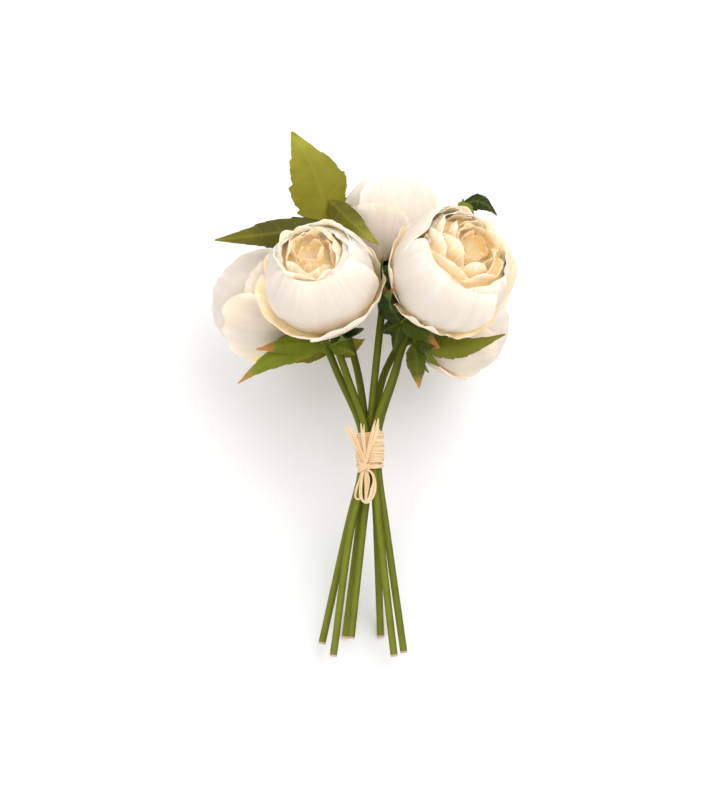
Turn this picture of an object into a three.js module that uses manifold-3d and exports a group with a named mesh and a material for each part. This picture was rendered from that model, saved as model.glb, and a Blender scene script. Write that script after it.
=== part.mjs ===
// A hand-tied bunch of seven cream peonies, lying on its back on a table.
// Units are millimetres. Everything is first built in the bunch's own frame: its origin is the middle of
// the raffia tie, +X is the bunch's right, +Y runs along the stems to the blooms and +Z is its front.
// The finished group is then tipped back until two blooms and two stem ends rest on the table, z = 0.
import * as THREE from "three";
import { mergeVertices } from "three/addons/utils/BufferGeometryUtils.js";
import Module from "manifold-3d";

const wasm = await Module();
wasm.setup();
const { Manifold, Mesh: SolidMesh } = wasm;

const DEG = Math.PI / 180;

// Driving dimensions
const GAP = 0.3; // between pieces that touch
const LIE_TILT = 21 * DEG; // how far the stems slope up from the table to the blooms
const LIE_HEIGHT = 64.8; // middle of the tie above the table, measured along the table's normal
const STEM_R = 2.2;
const STEM_SIDES = 8;
const STEM_RINGS = 12; // along a stem: on each point that it passes and halfway between, with none in the tie
const TIE_RING = 5; // the first ring above the tie
const WAIST_SPACING = 4.9; // between neighbouring stems inside the tie
const TIE_HALF = 11;
const RAFFIA_T = 0.9;
const PETAL_T = 0.8;
const LEAF_T = 0.8;
const SEPAL_T = 0.9;
const GLOBE_FLAT = 0.94; // a bloom's height along its axis over its width
const NECK = 7; // straight stem behind each bloom
const CUP_H = 5; // height of the green cup behind each bloom

// Where each stem passes the tie: a hexagon round one middle stem
const hexagon = (step) => [
  WAIST_SPACING * Math.cos(step * 60 * DEG),
  WAIST_SPACING * Math.sin(step * 60 * DEG),
];

// The seven blooms: middle of the globe, the way the bloom faces, globe radius, roll of its petals and how
// far its rim has opened, both in degrees, then its stem's place in the tie and the points that the stem
// passes: its cut end, a point below the tie and a point above it.
const BLOOMS = [
  { name: "front_left", at: [-30, 101, 51], face: [-0.13, 0.56, 0.82], radius: 36, roll: 0, open: 0,
    waist: hexagon(2), end: [-22, -123, 8], low: [-11, -45, 6], high: [-14, 45, 9] },
  { name: "front_right", at: [48, 105, 52], face: [0.42, 0.42, 0.8], radius: 38, roll: 42, open: 6,
    waist: hexagon(1), end: [14.4, -123, 8], low: [5.5, -45, 6], high: [14, 45, 10] },
  { name: "left", at: [-65, 90, -17], face: [-0.74, 0.42, -0.52], radius: 35, roll: 15, open: 0,
    waist: hexagon(3), end: [-29, -117, -7], low: [-13, -45, -3], high: [-19, 45, -1] },
  { name: "top", at: [12, 137, -8], face: [0.08, 0.93, -0.36], radius: 32, roll: 30, open: 8,
    waist: [0, 0], end: [-11.4, -113, 2], low: [-4, -45, 0], high: [3, 45, 1] },
  { name: "right", at: [56, 77, -19], face: [0.8, 0.3, -0.52], radius: 33, roll: 70, open: 2,
    waist: hexagon(0), end: [20.4, -122, -3], low: [9.5, -45, -1], high: [15, 45, 0] },
  { name: "back_left", at: [-30, 104, -81], face: [-0.3, 0.55, -0.78], radius: 31.5, roll: 10, open: 4,
    waist: hexagon(4), end: [-15, -115, -23.8], low: [-6.5, -45, -10], high: [-7, 45, -16] },
  { name: "back_right", at: [42, 108, -83.5], face: [0.26, 0.55, -0.79], radius: 31.5, roll: 55, open: 4,
    waist: hexagon(5), end: [6.6, -114.6, -24], low: [4, -45, -11], high: [8.5, 45, -19.5] },
];

// Rings of petals, from the outside in. Radius, lip, lean and wave are shares of the globe's radius.
// Angles are in degrees: root and rim are measured from the bottom of the globe, and half is half the
// width of a petal.
const PETAL_RINGS = [
  { count: 4, turn: -145, radius: 1.0, half: 52, root: 15, rim: 82, lip: 0.05, lean: -0.05, wave: 0.015,
    across: 3, along: 3 },
  { count: 4, turn: -100, radius: 0.85, half: 53, root: 16, rim: 136, lip: 0.01, lean: -0.065, wave: 0.01,
    across: 3, along: 4 },
  { count: 3, turn: -60, radius: 0.68, half: 62, root: 17, rim: 134, lip: 0.03, lean: -0.045, wave: 0.02,
    across: 3, along: 3 },
];

// The heart's two rings of folded petals sit on a smaller globe, raised along the bloom's axis.
const HEART_LIFT = 0.16;
const HEART_RINGS = [
  { count: 3, turn: 20, radius: 0.41, half: 54, root: 30, rim: 142, lip: 0.04, lean: -0.06, wave: 0.03,
    across: 3, along: 3 },
  { count: 3, turn: 50, radius: 0.26, half: 52, root: 34, rim: 148, lip: 0.06, lean: -0.05, wave: 0.03,
    across: 2, along: 3 },
];

// Sepals round each bloom: turn and reach along the globe in degrees, and half width
const SEPALS = [
  { turn: -90, reach: 36, half: 6 },
  { turn: 30, reach: 42, half: 5.5 },
  { turn: 150, reach: 38, half: 6 },
];

// Leaflet outline: distance along the rib and half width there, with a coarse tooth at each step back
const LEAFLET = [
  [0, 0.06], [0.2, 0.82], [0.4, 1], [0.44, 0.84], [0.72, 0.5], [1, 0.03],
];

// Leaves: the bloom whose stem carries it, how far up that stem, how the petiole bows, its fork, which way
// the upper faces look, and for each leaflet its tip, half width and arch.
const LEAVES = [
  { stem: "top", share: 0.92, bow: [-6, -8, 2], fork: [-25, 134, 12], faces: [0.1, 0.2, 1],
    leaflets: [
      { tip: [-47, 190, 8], half: 17.5, arch: 4 },
      { tip: [-92, 125, 18], half: 9, arch: 6 },
      { tip: [5, 121, 35], half: 6.5, arch: 4 },
    ] },
  { stem: "front_left", share: 0.9, bow: [-1, -1, -1], fork: [-25, 64, 16], faces: [0, 0.2, 1],
    leaflets: [
      { tip: [-78, 40, 24], half: 7, arch: 3 },
      { tip: [-67, 60, 26], half: 5.5, arch: 3 },
      { tip: [-9, 57, 18], half: 4, arch: 1 },
    ] },
  { stem: "front_right", share: 0.9, bow: [1, -1, -1], fork: [26, 64, 17], faces: [0, 0.2, 1],
    leaflets: [
      { tip: [80, 69, 21], half: 8, arch: 3 },
      { tip: [29, 37, 24], half: 6, arch: 2 },
      { tip: [41, 61, 26], half: 5, arch: 2 },
    ] },
  { stem: "back_right", share: 0.93, bow: [1, 0, 10], fork: [58, 138, -12], faces: [-0.5, 0.8, 0.4],
    leaflets: [
      { tip: [76, 142, 0], half: 8, arch: 13 },
      { tip: [70, 128, 6], half: 6, arch: 3 },
    ] },
  { stem: "back_left", share: 0.86, bow: [0, -2, -4], fork: [-24, 60, -46], faces: [-0.3, -0.5, -1],
    leaflets: [
      { tip: [-76, 66, -70], half: 11, arch: 4 },
      { tip: [-50, 60, -74], half: 9, arch: 4 },
      { tip: [-3, 68, -64], half: 8, arch: 4 },
    ] },
];

// The bow: its knot's place and half sizes, and the strands' points measured from the knot
const BOW_X = -3.6;
const BOW_Y = -9.6;
const KNOT = [3.2, 2.6, 1.7];
const STRAND_R = 0.9;
const BOW_LOOPS = [
  [[-1, 0, 0], [-4.2, -10, 0.3], [-5.4, -18, 0.4], [-2.6, -19, 0.4], [-1.2, -10, 0.6], [-0.4, 0, 0.2]],
  [[0.4, 0, 0], [0, -11, 1.4], [0.4, -21, 1], [4.4, -19, 0.6], [5.4, -10, 0.4], [1, 0, 0]],
];
const BOW_TAILS = [
  [[0, 0, 0.2], [-5, 10, 0.9], [-11, 24, 1.6]],
  [[0, 0, 0], [-1.6, 12, 0.4], [-2, 25, 0.8]],
  [[0, 0, 0.2], [3.6, 12, 0.9], [7, 27, 1.4]],
];

// A repeatable draw from 0 to 1 for whole numbers a and b.
function draw(a, b) {
  const s = Math.sin(a * 12.9898 + b * 78.233) * 437.585;
  return s - Math.floor(s);
}

// Makes a solid of corner points and triangles.
function solidFrom(points, triangles) {
  const vertProperties = new Float32Array(points.flatMap((p) => [p.x, p.y, p.z]));
  return new Manifold(new SolidMesh({ numProp: 3, vertProperties, triVerts: new Uint32Array(triangles) }));
}

// Makes a solid of a closed three.js geometry.
function solidOf(geometry) {
  const bare = geometry.index ? geometry.toNonIndexed() : geometry.clone();
  bare.deleteAttribute("normal");
  bare.deleteAttribute("uv");
  const merged = mergeVertices(bare, 1e-4);
  return new Manifold(
    new SolidMesh({
      numProp: 3,
      vertProperties: new Float32Array(merged.attributes.position.array),
      triVerts: new Uint32Array(merged.index.array),
    }),
  );
}

// Turns a solid back into a three.js geometry.
function geometryOf(solid) {
  const mesh = solid.getMesh();
  const geometry = new THREE.BufferGeometry();
  geometry.setAttribute("position", new THREE.BufferAttribute(mesh.vertProperties, 3));
  geometry.setIndex(new THREE.BufferAttribute(mesh.triVerts, 1));
  geometry.computeVertexNormals();
  return geometry;
}

// The largest body of a solid: a sealed pocket is filled and a loose scrap is dropped.
function onlyBody(solid) {
  return solid.decompose().reduce((most, body) => (body.volume() > most.volume() ? body : most));
}

const join = (solids) => onlyBody(solids.reduce((whole, solid) => whole.add(solid)));

// A closed sheet of even thickness over surface(u, v): u runs from -1 to 1 and v over the given rows.
function sheet(surface, thickness, across, rows) {
  const step = 1e-3;
  const points = [];
  const columns = across + 1;
  for (const side of [0.5, -0.5]) {
    for (const v of rows) {
      for (let i = 0; i < columns; i++) {
        const u = -1 + (2 * i) / across;
        const du = surface(u + step, v).sub(surface(u - step, v));
        const dv = surface(u, v + step).sub(surface(u, v - step));
        const normal = du.cross(dv).normalize();
        points.push(surface(u, v).addScaledVector(normal, side * thickness));
      }
    }
  }
  const back = points.length / 2;
  const triangles = [];
  const quad = (a, b, c, d) => triangles.push(a, b, c, a, c, d);
  for (let j = 0; j < rows.length - 1; j++) {
    for (let i = 0; i < across; i++) {
      const a = j * columns + i;
      quad(a, a + 1, a + columns + 1, a + columns);
      triangles.push(back + a, back + a + columns + 1, back + a + 1);
      triangles.push(back + a, back + a + columns, back + a + columns + 1);
    }
  }
  const last = (rows.length - 1) * columns;
  for (let i = 0; i < across; i++) {
    quad(i, back + i, back + i + 1, i + 1);
    quad(last + i, last + i + 1, back + last + i + 1, back + last + i);
  }
  for (let j = 0; j < rows.length - 1; j++) {
    const a = j * columns;
    const b = a + across;
    quad(a, a + columns, back + a + columns, back + a);
    quad(b, back + b, back + b + columns, b + columns);
  }
  return solidFrom(points, triangles);
}

const evenRows = (along) => Array.from({ length: along + 1 }, (_, j) => j / along);

// The point of one petal at u across and v along, in its bloom's frame.
function petalPoint(petal, u, v) {
  const rim = petal.rim - (petal.rim - petal.root) * 0.3 * Math.abs(u) ** 3;
  const theta = (petal.root + (rim - petal.root) * v) * DEG;
  const spread = petal.half * u * (0.6 + 0.4 * Math.min(1, v / 0.3) - 0.12 * v * v);
  const phi = (petal.turn + spread) * DEG;
  const wave = petal.wave * v ** 3 * Math.sin(petal.waves * u + petal.phase);
  const r = petal.radius + petal.lean * u + petal.lip * v ** 4 + wave;
  return new THREE.Vector3(
    r * Math.sin(theta) * Math.cos(phi),
    r * Math.sin(theta) * Math.sin(phi),
    petal.lift - GLOBE_FLAT * r * Math.cos(theta),
  );
}

// The petals of one ring of bloom number n, each a little different from its neighbours.
function ringPetals(bloom, n, ring, k) {
  const scale = bloom.radius;
  return Array.from({ length: ring.count }, (_, i) => {
    const seed = 10 * k + i;
    return {
      turn: ring.turn + bloom.roll + (360 / ring.count) * i + 10 * (draw(n, seed) - 0.5),
      half: ring.half,
      root: ring.root,
      rim: ring.rim - bloom.open + 10 * (draw(n + 20, seed) - 0.5),
      radius: ring.radius * scale,
      lip: ring.lip * scale,
      lean: ring.lean * scale,
      wave: ring.wave * scale,
      waves: 3 + 2 * draw(n + 40, seed),
      phase: 6 * draw(n + 60, seed),
      lift: (ring.lifted ?? 0) * scale,
    };
  });
}

// The white petals of a bloom with the small receptacle that their roots sink into.
function bloomSolid(bloom, n) {
  const R = bloom.radius;
  const profile = [[0, -0.96], [0.27, -0.96], [0.26, -0.6], [0, -0.6]];
  const receptacle = new THREE.LatheGeometry(profile.map(([x, y]) => new THREE.Vector2(x * R, y * R)), 6);
  receptacle.rotateX(Math.PI / 2);
  const petals = PETAL_RINGS.flatMap((ring, k) =>
    ringPetals(bloom, n, ring, k).map((petal) =>
      sheet((u, v) => petalPoint(petal, u, v), PETAL_T, ring.across, evenRows(ring.along))),
  );
  return join([solidOf(receptacle), ...petals]);
}

// The cream heart: folded petals round a slim core that stands on the receptacle.
function heartSolid(bloom, n) {
  const R = bloom.radius;
  const low = -0.6 * R + GAP;
  const profile = [[0, low], [0.12 * R, low], [0.31 * R, -0.22 * R], [0, 0.2 * R]];
  const core = new THREE.LatheGeometry(profile.map(([x, y]) => new THREE.Vector2(x, y)), 6);
  core.rotateX(Math.PI / 2);
  const petals = HEART_RINGS.flatMap((ring, k) =>
    ringPetals(bloom, n, { ...ring, lifted: HEART_LIFT }, k + 5).map((petal) =>
      sheet((u, v) => petalPoint(petal, u, v), PETAL_T, ring.across, evenRows(ring.along))),
  );
  return join([solidOf(core), ...petals]);
}

// The green cup behind a bloom with its ring of toothed sepals.
function calyxSolid(bloom, n) {
  const R = bloom.radius;
  const top = -0.96 * R - GAP;
  const profile = [[0, top - CUP_H], [3.2, top - CUP_H], [5.4, top - 2], [5.6, top], [0, top]];
  const cup = new THREE.LatheGeometry(profile.map(([x, y]) => new THREE.Vector2(x, y)), 8);
  cup.rotateX(Math.PI / 2);
  const sepals = SEPALS.map((sepal, i) => {
    const turn = (sepal.turn + bloom.roll + 16 * (draw(n + 80, i) - 0.5)) * DEG;
    const reach = sepal.reach * (0.9 + 0.2 * draw(n + 90, i));
    return sheet((u, v) => sepalPoint(R, turn, reach, sepal, u, v), SEPAL_T, 2, [0, 0.62, 0.68, 1]);
  });
  return join([solidOf(cup), ...sepals]);
}

function sepalPoint(R, turn, reach, sepal, u, v) {
  const theta = (5 + reach * v) * DEG;
  const r = R * 1.06 + 1.4;
  const half = sepal.half * (v < 0.65 ? 0.5 + 0.77 * v : 2.4 * (1.02 - v));
  const side = half * u;
  return new THREE.Vector3(
    r * Math.sin(theta) * Math.cos(turn) - side * Math.sin(turn),
    r * Math.sin(theta) * Math.sin(turn) + side * Math.cos(turn),
    -GLOBE_FLAT * r * Math.cos(theta) - 0.3 * (1 - v),
  );
}

// The matrix that carries a bloom's own frame, +Z out of its opening and +X to the right, to its place.
function bloomPlace(bloom) {
  const z = new THREE.Vector3(...bloom.face).normalize();
  const x = new THREE.Vector3(1, 0, 0).addScaledVector(z, -z.x).normalize();
  const y = z.clone().cross(x);
  return new THREE.Matrix4().makeBasis(x, y, z).setPosition(...bloom.at);
}

// The middle line of a stem, from its cut end through the tie to the cup behind its bloom.
function stemLine(bloom) {
  const axis = new THREE.Vector3(...bloom.face).normalize();
  const foot = new THREE.Vector3(...bloom.at).addScaledVector(axis, -0.96 * bloom.radius - CUP_H - 2 * GAP);
  const neck = foot.clone().addScaledVector(axis, -NECK);
  const [x, z] = bloom.waist;
  const tie = [-TIE_HALF, TIE_HALF].map((y) => new THREE.Vector3(x, y, z));
  const [end, low, high] = [bloom.end, bloom.low, bloom.high].map((at) => new THREE.Vector3(...at));
  const line = new THREE.CatmullRomCurve3([end, low, ...tie, high, neck, foot]);
  line.getUtoTmapping = (share) => {
    const ring = Math.round(share * (STEM_RINGS - 1));
    return (ring < TIE_RING ? ring : ring + 1) / STEM_RINGS;
  };
  return line;
}

function tube(curve, radius, sides, steps) {
  const ring = new THREE.Shape();
  ring.absarc(0, 0, radius, 0, 2 * Math.PI);
  return solidOf(new THREE.ExtrudeGeometry(ring, { extrudePath: curve, steps, curveSegments: sides / 2 }));
}

// A leaf: a petiole from the stem to the fork, and its leaflets.
function leafSolid(leaf, line) {
  const fork = new THREE.Vector3(...leaf.fork);
  const root = line.getPoint(leaf.share);
  const faces = new THREE.Vector3(...leaf.faces).normalize();
  const rise = root.clone().lerp(fork, 0.5).add(new THREE.Vector3(...leaf.bow));
  const petiole = tube(new THREE.CatmullRomCurve3([root, rise, fork]), 1.1, 4, 4);
  const leaflets = leaf.leaflets.map((leaflet) => {
    const rib = new THREE.Vector3(...leaflet.tip).sub(fork);
    const side = rib.clone().cross(faces).normalize();
    const up = side.clone().cross(rib).normalize();
    const point = (u, v) => {
      const half = leaflet.half * outline(v);
      return fork.clone().addScaledVector(rib, v).addScaledVector(side, half * u)
        .addScaledVector(up, leaflet.arch * Math.sin(Math.PI * v) - 0.35 * half * Math.abs(u));
    };
    return sheet(point, LEAF_T, 2, LEAFLET.map(([v]) => v));
  });
  return join([petiole, ...leaflets]);
}

// Half width of a leaflet at v, read along its outline.
function outline(v) {
  const i = Math.min(Math.max(LEAFLET.findIndex(([at]) => at > v), 1), LEAFLET.length - 1);
  const [v0, w0] = LEAFLET[v >= 1 ? LEAFLET.length - 2 : i - 1];
  const [v1, w1] = LEAFLET[v >= 1 ? LEAFLET.length - 1 : i];
  return w0 + ((w1 - w0) * (v - v0)) / (v1 - v0);
}

// Everything above the table stays.
const tableNormal = [0, Math.sin(LIE_TILT), Math.cos(LIE_TILT)];
const onTable = (solid) => solid.trimByPlane(tableNormal, -LIE_HEIGHT);

const finish = (color, roughness) => new THREE.MeshStandardMaterial({ color, roughness, metalness: 0 });
const WHITE = finish("#f5e8df", 0.75);
const CREAM = finish("#eed29a", 0.75);
const SEPAL_GREEN = finish("#5f6f24", 0.6);
const STEM_GREEN = finish("#6d7a2c", 0.45);
const LEAF_GREEN = finish("#87862f", 0.6);
const RAFFIA = finish("#efcda0", 0.8);

const bunch = new THREE.Group();
function place(name, solid, material) {
  const mesh = new THREE.Mesh(geometryOf(solid), material);
  mesh.name = name;
  bunch.add(mesh);
}

const lines = new Map();
BLOOMS.forEach((bloom, n) => {
  const matrix = [...bloomPlace(bloom).elements];
  const line = stemLine(bloom);
  lines.set(bloom.name, line);
  const stem = tube(line, STEM_R, STEM_SIDES, STEM_RINGS - 1);
  place("bloom_" + bloom.name, onTable(bloomSolid(bloom, n).transform(matrix)), WHITE);
  place("heart_" + bloom.name, heartSolid(bloom, n).transform(matrix), CREAM);
  place("calyx_" + bloom.name, calyxSolid(bloom, n).transform(matrix), SEPAL_GREEN);
  place("stem_" + bloom.name, onTable(stem), STEM_GREEN);
});
LEAVES.forEach((leaf) => {
  const line = lines.get(leaf.stem);
  const sleeve = tube(line, STEM_R + GAP, STEM_SIDES, STEM_RINGS - 1);
  place("leaf_" + leaf.stem, onlyBody(leafSolid(leaf, line).subtract(sleeve)), LEAF_GREEN);
});

// Raffia wound round the stems: a sleeve with one ridge for each turn.
function wrapSolid() {
  const inner = WAIST_SPACING + STEM_R + GAP;
  const turns = 6;
  const profile = [new THREE.Vector2(inner, -TIE_HALF)];
  for (let i = 0; i <= 2 * turns; i++) {
    const ridge = i % 2 ? RAFFIA_T : 0.6 * RAFFIA_T;
    profile.push(new THREE.Vector2(inner + ridge, -TIE_HALF + (TIE_HALF * i) / turns));
  }
  profile.push(new THREE.Vector2(inner, TIE_HALF), profile[0].clone());
  return solidOf(new THREE.LatheGeometry(profile, 12));
}
place("raffia_wrap", wrapSolid(), RAFFIA);

// The raffia bow in front of the tie: a knot, loops that hang below it and tails that stand above it.
function bowSolid() {
  const front = WAIST_SPACING + STEM_R + RAFFIA_T + KNOT[2];
  const knotAt = new THREE.Vector3(BOW_X, BOW_Y, front);
  const knot = new THREE.SphereGeometry(1, 8, 6).scale(...KNOT).translate(...knotAt);
  const strand = (points) => {
    const line = new THREE.CatmullRomCurve3(points.map(([x, y, z]) => new THREE.Vector3(x, y, z).add(knotAt)));
    return tube(line, STRAND_R, 4, 2 * points.length - 2);
  };
  return join([solidOf(knot), ...[...BOW_LOOPS, ...BOW_TAILS].map(strand)]);
}
place("raffia_bow", bowSolid(), RAFFIA);

// Laid down, with the origin on the table under the middle of the bunch.
bunch.rotation.x = LIE_TILT;
bunch.position.z = LIE_HEIGHT;
bunch.updateMatrixWorld(true);
const box = new THREE.Box3().setFromObject(bunch, true);
bunch.position.x -= (box.min.x + box.max.x) / 2;
bunch.position.y -= (box.min.y + box.max.y) / 2;
bunch.position.z -= box.min.z;

export default bunch;
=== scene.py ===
"""A hand-tied bunch of seven cream artificial peonies with moulded stems and a raffia tie, lying on its back.

Sizes are in millimetres in the bunch's own frame, as in the part's source: the origin is the middle of the
tie, +X is the bunch's right, +Y runs along the stems to the blooms and +Z is its front. One matrix, BUNCH,
carries them to metres where the bunch lies.
"""
import math

import bpy
import numpy as np
from mathutils import Matrix, Vector


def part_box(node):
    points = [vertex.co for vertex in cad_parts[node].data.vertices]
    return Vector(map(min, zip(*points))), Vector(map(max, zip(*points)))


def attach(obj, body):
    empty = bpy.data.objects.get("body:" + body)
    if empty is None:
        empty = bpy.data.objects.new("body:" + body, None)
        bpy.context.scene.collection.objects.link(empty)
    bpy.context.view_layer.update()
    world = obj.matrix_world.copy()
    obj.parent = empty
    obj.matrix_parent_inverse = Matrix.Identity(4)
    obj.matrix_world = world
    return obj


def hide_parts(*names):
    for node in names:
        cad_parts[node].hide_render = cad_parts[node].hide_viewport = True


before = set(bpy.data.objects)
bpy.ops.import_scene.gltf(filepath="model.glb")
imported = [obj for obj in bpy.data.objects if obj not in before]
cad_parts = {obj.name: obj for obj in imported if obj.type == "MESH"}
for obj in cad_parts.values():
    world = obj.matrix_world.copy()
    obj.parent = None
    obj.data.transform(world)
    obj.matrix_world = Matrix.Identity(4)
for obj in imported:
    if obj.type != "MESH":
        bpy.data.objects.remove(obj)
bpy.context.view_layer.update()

# The bunch's place: it is tipped back by LIE_TILT, and the raffia wrap is centred on its origin
MM = 0.001
LIE_TILT = math.radians(21)
wrap_low, wrap_high = (Vector(corner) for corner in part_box("raffia_wrap"))
TIE = (wrap_low + wrap_high) / 2
BUNCH = Matrix.Translation(TIE) @ Matrix.Rotation(LIE_TILT, 4, "X") @ Matrix.Scale(MM, 4)

# Stems, leaf stalks and cups. A stem has a painted highlight down its front, a share of a turn round from its
# back, and painted shade on its sides, and it darkens over STEM_FADE from its cut end, whose own colour
# reaches STEM_CUT. A cup ends at CUP_SEAT of its globe's radius, and its profile holds radii and heights
# above its foot.
STEM_R = 2.2
STEM_SIDES = 20
STEM_POINTS = 61
# Where round the stem its painted highlight lies, as a share of a turn from its back
STEM_PAINTED_HIGHLIGHT_TURN = 0.45
STEM_FADE = 240
STEM_CUT = 1.2
PETIOLE_R = 1.1
PETIOLE_TAPER = (1.25, 0.9)
PETIOLE_SIDES = 12
PETIOLE_POINTS = 15
WAIST_SPACING = 4.9
TIE_HALF = 11
NECK = 7
CUP_H = 5
CUP_GAP = 0.3
CUP_SEAT = 0.96
CUP_SIDES = 32
CUP_PROFILE = [(0, 0), (2.9, 0), (3.3, 0.4), (4.2, 1.4), (5.2, 2.8), (5.6, 4), (5.7, CUP_H),
               (5.2, CUP_H + 0.5), (0, CUP_H + 0.5)]

# Sheets: how flat a globe is, how thick each kind is, and its quads across and along
GLOBE_FLAT = 0.94
PETAL_T = 0.35
HEART_T = 0.35
LEAF_T = 0.5
SEPAL_T = 0.6
STRAW_T = 0.35
PETAL_GRID = (34, 22)
HEART_GRID = (20, 16)
CORE_GRID = (96, 20)
LEAFLET_GRID = (24, 60)
SEPAL_GRID = (12, 32)
SHARP_EDGE = math.radians(50)

# How far the petals of a ring differ in turn and rim, in degrees, and how frayed a white rim is. The hearts'
# petals differ further, in lift too, which is a share of the globe's radius.
PETAL_SPREAD = 10
RIM_FRAY = 0.6
HEART_TURN_SPREAD = 14
HEART_RIM_SPREAD = 12
HEART_LIFT_SPREAD = 0.12

# Leaflets: pairs of side veins, how far they slant, and the half widths of midrib and side veins
VEIN_PAIRS = 6
VEIN_SLANT = 0.55
MIDRIB_HALF = 0.7
VEIN_HALF = 0.45

# The view: VIEW_HEIGHT is what the camera sees at its centre. The stage's own sizes are in metres.
VIEW_DISTANCE = 1500
VIEW_CENTRE = (-6, 33, 0)
VIEW_HEIGHT = 474
SENSOR = 24
CLIP_END = 20
FLOOR_SIZE = 8
SKY = 0.8
LIGHTS = [
    dict(name="key", at=(0.6, 0.2, 1.7), size=1.2, power=12),
    dict(name="fill", at=(-0.9, -0.9, 1.2), size=1.6, power=4),
    dict(name="back", at=(0.2, 1.4, 1.2), size=1.2, power=4),
]


def hexagon(step):
    """Place of a stem in the tie, on a hexagon round the middle stem."""
    turn = math.radians(60 * step)
    return WAIST_SPACING * math.cos(turn), WAIST_SPACING * math.sin(turn)


# The seven blooms: middle of the globe, the way the bloom faces, globe radius, roll of its petals and how far
# its rim has opened, then its stem's place in the tie and the points that the stem passes. Some have sepals
# of their own, a shift of the heart's petals as shares of the radius, and changes to single petals.
BLOOMS = {
    "front_left": dict(
        at=(-30, 101, 51), face=(-0.13, 0.56, 0.82), radius=36, roll=0, opened=0,
        waist=hexagon(2), end=(-22, -123, 8), low=(-11, -45, 6), high=(-14, 45, 9),
        sepals=[dict(turn=-75, reach=72, half=6), dict(turn=-48, reach=62, half=5)],
        shift=(-0.03, 0.06),
        changes={(0, 0): dict(turn=-128, half=78, rim=80, drop=0.12, lip=0.075, cleft=0),
                 (0, 1): dict(turn=-132, half=60, rim=82, drop=0.12, lip=0.07, cleft=0),
                 (1, 0): dict(turn=-92, half=84, radius=0.93, rim=136, lean=0.03, lip=-0.05,
                              drop=0.06, corner=6, cleft=0, wave=0.03, fold=0.03),
                 (1, 1): dict(turn=-108, radius=0.9, rim=142, lean=0, lip=-0.05, drop=0.1),
                 (1, 2): dict(rim=132),
                 (1, 3): dict(radius=0.88, rim=134),
                 (2, 0): dict(turn=-20, half=60, rim=143, radius=0.84, lip=-0.04, drop=0.06),
                 (2, 1): dict(rim=138, lip=-0.03, drop=0.06),
                 (2, 2): dict(radius=0.84),
                 (3, 4): dict(rim=122)}),
    "front_right": dict(
        at=(48, 105, 52), face=(0.42, 0.42, 0.8), radius=38, roll=42, opened=6,
        waist=hexagon(1), end=(14.4, -123, 8), low=(5.5, -45, 6), high=(14, 45, 10),
        sepals=[dict(turn=140, reach=84, half=4, scorch=1.0),
                dict(turn=165, reach=76, half=5, scorch=1.0)],
        shift=(0.03, 0.14),
        changes={(0, 0): dict(rim=84, lip=0.04, ruffle=0.03, wave=0.03),
                 (0, 1): dict(rim=82, lip=0.02),
                 (0, 3): dict(lip=0.02),
                 (1, 0): dict(radius=0.89, lean=-0.01, fold=0.03),
                 (1, 1): dict(rim=114, wave=0.03, ruffle=0.015, lip=0.03),
                 (1, 2): dict(rim=132, wave=0.03, ruffle=0.015, lip=0.03),
                 (1, 3): dict(turn=-70, half=78, radius=0.96, lean=0, lip=-0.05, drop=0.06,
                              corner=6, cleft=0, wave=0.03, fold=0.03),
                 (2, 1): dict(rim=126, wave=0.04, ruffle=0.02, lip=0.03, lift=0.05),
                 (3, 0): dict(rim=118, radius=0.76, wave=0.05, ruffle=0.02, lift=0.1),
                 (3, 1): dict(rim=124, radius=0.76, wave=0.05, ruffle=0.02, lift=0.2),
                 (3, 2): dict(turn=-30, half=54, rim=129, radius=0.77, wave=0.04, ruffle=0.02,
                              lift=0.12)}),
    "left": dict(
        at=(-65, 90, -17), face=(-0.74, 0.42, -0.52), radius=35, roll=15, opened=0,
        waist=hexagon(3), end=(-29, -117, -7), low=(-13, -45, -3), high=(-19, 45, -1),
        changes={(0, i): dict(turn=-197, lean=0.03, rim=86, lip=0.04, cleft=3, ruffle=0.03,
                              wave=0.05, fold=0.036) for i in range(4)}),
    "top": dict(
        at=(12, 137, -8), face=(0.08, 0.93, -0.36), radius=32, roll=30, opened=8,
        waist=(0, 0), end=(-11.4, -113, 2), low=(-4, -45, 0), high=(3, 45, 1),
        changes={(1, i): dict(rim=139, ruffle=0.015, wave=0.05, cleft=0, lip=0.04)
                 for i in range(4)}),
    "right": dict(
        at=(56, 77, -19), face=(0.8, 0.3, -0.52), radius=33, roll=70, opened=2,
        waist=hexagon(0), end=(20.4, -122, -3), low=(9.5, -45, -1), high=(15, 45, 0),
        changes={(0, i): dict(ruffle=0.025, wave=0.04, fold=0.03) for i in range(4)}),
    "back_left": dict(
        at=(-30, 104, -81), face=(-0.3, 0.55, -0.78), radius=31.5, roll=10, opened=4,
        waist=hexagon(4), end=(-15, -115, -23.8), low=(-6.5, -45, -10), high=(-7, 45, -16)),
    "back_right": dict(
        at=(42, 108, -83.5), face=(0.26, 0.55, -0.79), radius=31.5, roll=55, opened=4,
        waist=hexagon(5), end=(6.6, -114.6, -24), low=(4, -45, -11), high=(8.5, 45, -19.5)),
}

RADIUS_SHARES = ("radius", "lip", "lean", "wave", "ruffle", "fold", "lift", "cup")
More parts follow.
